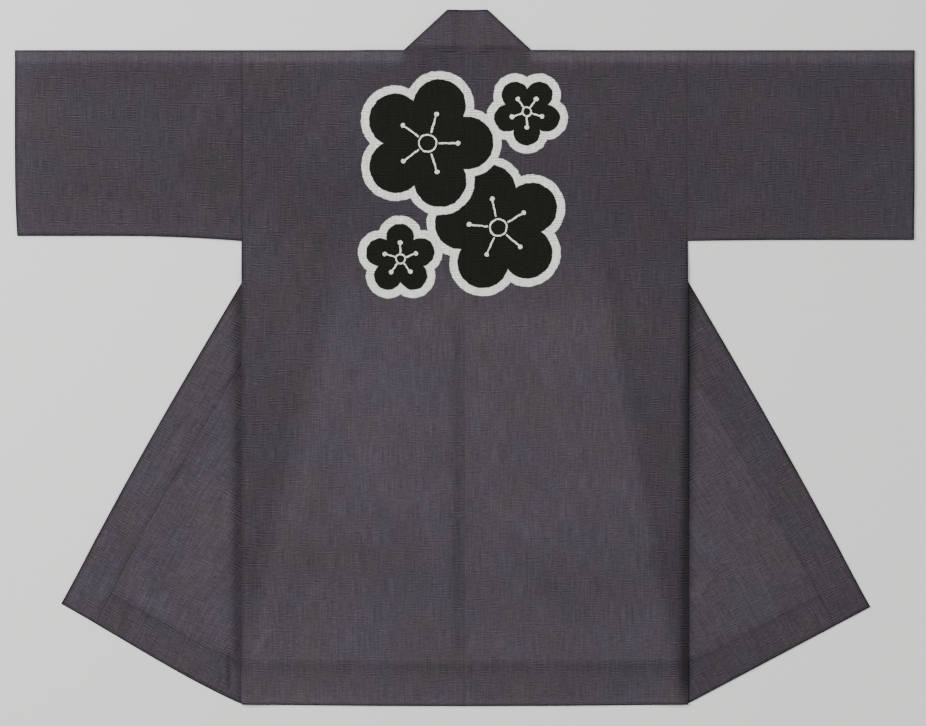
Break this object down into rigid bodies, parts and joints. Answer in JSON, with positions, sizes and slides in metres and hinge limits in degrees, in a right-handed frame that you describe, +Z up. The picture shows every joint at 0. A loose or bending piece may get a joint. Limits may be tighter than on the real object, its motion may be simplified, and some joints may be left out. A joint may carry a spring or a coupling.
{
  "type": "happi coat",
  "caption": "Short straight-cut cotton coat lying flat, back upward, sleeves spread, both fronts turned out past the side seams.",
  "frame": {"origin": "middle of the coat's bounding box on the surface that it lies on", "axes": "+X along the sleeves toward the wearer's right sleeve, +Y from hem to collar, +Z up out of the cloth"},
  "size_m": [1.322, 1.0235, 0.0056],
  "materials": {
    "back_cotton": "matt plain-weave cotton, charcoal black, faint slubs",
    "front_cotton": "matt plain-weave cotton, charcoal black, faint slubs",
    "sleeve_cotton": "matt plain-weave cotton, charcoal black, faint slubs",
    "collar_cotton": "matt plain-weave cotton over a stiff lining, charcoal black"
  },
  "bodies": {
    "root": {"back_left": "back_cotton", "back_right": "back_cotton", "front_left": "front_cotton", "front_right": "front_cotton", "sleeve_left": "sleeve_cotton", "sleeve_right": "sleeve_cotton", "collar_neck": "collar_cotton", "collar_left": "collar_cotton", "collar_right": "collar_cotton"}
  },
  "joints": []
}
